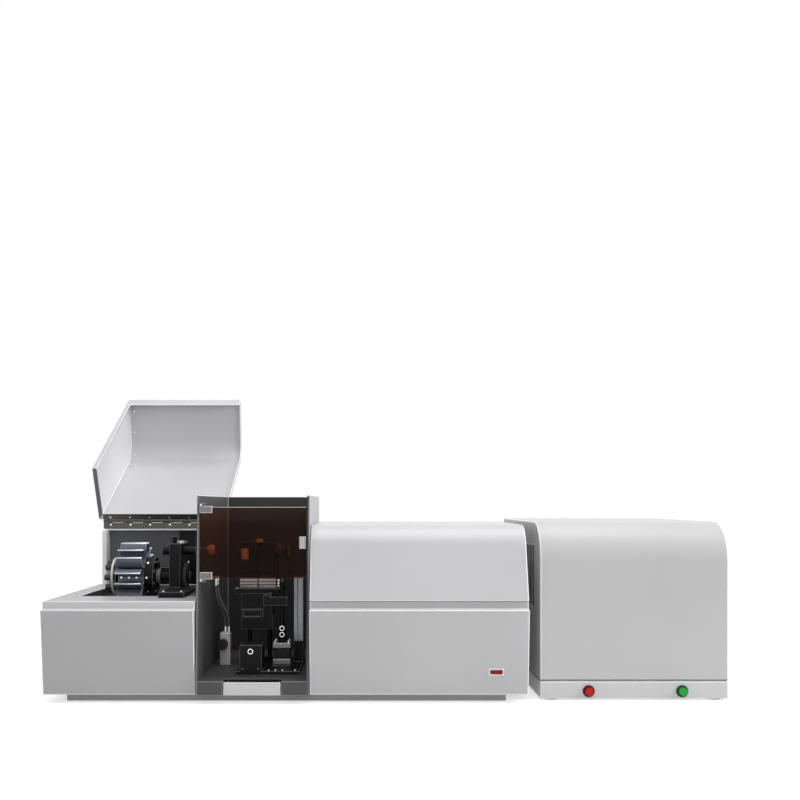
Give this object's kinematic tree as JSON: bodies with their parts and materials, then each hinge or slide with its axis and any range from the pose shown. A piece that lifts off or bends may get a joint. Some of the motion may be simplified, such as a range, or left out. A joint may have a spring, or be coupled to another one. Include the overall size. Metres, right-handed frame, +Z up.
{
  "type": "atomic absorption spectrophotometer",
  "caption": "Bench atomic absorption spectrophotometer, lamp lid open over its turret, furnace behind an amber shield in the middle, monochromator at the right, power cabinet beside it.",
  "frame": {"origin": "middle of the footprint of both units with the lid open, on the bench", "axes": "+X along the bench to the right as seen from the front, +Y from the front to the back, +Z up"},
  "size_m": [1.485, 0.8155, 0.7323],
  "materials": {
    "light_paint": "fine textured light grey paint",
    "panel_paint": "fine textured grey paint",
    "plinth_paint": "matt grey paint",
    "dark_paint": "matt dark grey paint",
    "black_metal": "black anodised",
    "bare_metal": "machined and bead blasted",
    "steel": "plain bright steel",
    "motor": "motor stack with bright end caps",
    "clip_steel": "dark blued spring steel",
    "brass": "dull brass",
    "white_plastic": "moulded white plastic",
    "black_plastic": "moulded black plastic",
    "grey_plastic": "moulded grey plastic",
    "amber": "clear amber acrylic",
    "graphite": "matt graphite",
    "hose": "grey silicone hose",
    "red_plastic": "gloss red",
    "green_plastic": "gloss green",
    "mirror": "coated mirror in a grey mount",
    "board": "green circuit board",
    "iron": "varnished core and windings",
    "rubber": "black rubber"
  },
  "bodies": {
    "frame": {"base_plate": "plinth_paint", "rubber_feet": "rubber", "lamp_tub": "panel_paint", "lamp_back": "dark_paint", "hinge_leaf": "steel", "hinge_pin": "steel", "turret_bracket": "black_metal", "turret_motor": "motor", "lens_barrel": "black_metal", "cheek_left": "light_paint", "cheek_right": "light_paint", "sample_liner": "dark_paint", "sample_floor": "dark_paint", "sill_blocks": "dark_paint", "shield_pivots": "steel", "lift_base": "black_metal", "lift_column": "bare_metal", "guide_rods": "steel", "lift_motor": "motor", "gas_valve": "grey_plastic", "gas_fittings": "brass", "gas_tubes": "hose", "mono_lower": "panel_paint", "mono_cover": "light_paint", "switch_bezel": "white_plastic", "optical_bed": "bare_metal", "slit_blocks": "black_metal", "mono_mirrors": "mirror", "pmt_housing": "black_metal", "power_module": "steel", "control_board": "board", "fan_frame": "black_plastic", "rear_ports": "steel", "cab_base": "panel_paint", "cab_cover": "light_paint", "button_bezels": "black_plastic", "transformer": "iron"},
    "lid": {"lid_shell": "light_paint", "lid_leaf": "steel"},
    "turret": {"turret_hub": "black_metal", "lamp_clips": "clip_steel", "socket_disc": "white_plastic", "lamp_sockets": "black_plastic", "turret_gear": "black_metal"},
    "pinion": {"turret_pinion": "steel"},
    "shield": {"shield_pane": "amber", "shield_blocks": "grey_plastic", "shield_handle": "grey_plastic"},
    "lift": {"lift_carriage": "black_metal", "furnace_blocks": "bare_metal", "graphite_tube": "graphite", "furnace_fittings": "brass"},
    "screw": {"lift_screw": "steel"},
    "tray": {"drip_tray": "light_paint"},
    "gas_knob": {"valve_knob": "black_plastic"},
    "mains_rocker": {"rocker": "red_plastic"},
    "red": {"red_button": "red_plastic"},
    "green": {"green_button": "green_plastic"},
    "grating": {"grating_table": "steel"},
    "fan": {"fan_rotor": "black_plastic"}
  },
  "joints": [
    {"name": "lid_hinge", "type": "hinge", "parent": "frame", "child": "lid", "pos_m": [-0.579, 0.06245, 0.384], "axis": [1, 0, 0], "range_deg": [0, 153]},
    {"name": "turret_spin", "type": "hinge", "parent": "frame", "child": "turret", "pos_m": [-0.6045, -0.12775, 0.254], "axis": [1, 0, 0], "continuous": true},
    {"name": "pinion_spin", "type": "hinge", "parent": "frame", "child": "pinion", "pos_m": [-0.4855, -0.09025, 0.254], "axis": [1, 0, 0], "continuous": true},
    {"name": "shield_hinge", "type": "hinge", "parent": "frame", "child": "shield", "pos_m": [-0.3995, -0.37275, 0.345], "axis": [0, 0, -1], "range_deg": [0, 110]},
    {"name": "lift_slide", "type": "slide", "parent": "frame", "child": "lift", "axis": [0, 0, 1], "range_m": [-0.01, 0.01]},
    {"name": "screw_spin", "type": "hinge", "parent": "frame", "child": "screw", "pos_m": [-0.2425, -0.21775, 0.16], "axis": [0, 0, 1], "range_deg": [-905, 905]},
    {"name": "tray_slide", "type": "slide", "parent": "frame", "child": "tray", "axis": [0, -1, 0], "range_m": [0, 0.15]},
    {"name": "valve_turn", "type": "hinge", "parent": "frame", "child": "gas_knob", "pos_m": [-0.38525, -0.18375, 0.099], "axis": [0, -1, 0], "range_deg": [0, 270]},
    {"name": "rocker_tilt", "type": "hinge", "parent": "frame", "child": "mains_rocker", "pos_m": [0.2305, -0.3902, 0.06932], "axis": [0, -0.1081, 0.9941], "range_deg": [0, 16]},
    {"name": "red_press", "type": "slide", "parent": "frame", "child": "red", "axis": [0, 1, 0], "range_m": [0, 0.004], "stiffness_N_per_m": 400},
    {"name": "green_press", "type": "slide", "parent": "frame", "child": "green", "axis": [0, 1, 0], "range_m": [0, 0.004], "stiffness_N_per_m": 400},
    {"name": "grating_turn", "type": "hinge", "parent": "frame", "child": "grating", "pos_m": [0.0205, -0.23775, 0.25], "axis": [0, 0, 1], "range_deg": [-30, 30]},
    {"name": "fan_spin", "type": "hinge", "parent": "frame", "child": "fan", "pos_m": [0.1605, 0.05225, 0.12], "axis": [0, 1, 0], "continuous": true}
  ],
  "couplings": [
    {"joint": "pinion_spin", "follows": "turret_spin", "ratio": -4},
    {"joint": "screw_spin", "follows": "lift_slide", "rad_per_m": 1570.8}
  ]
}
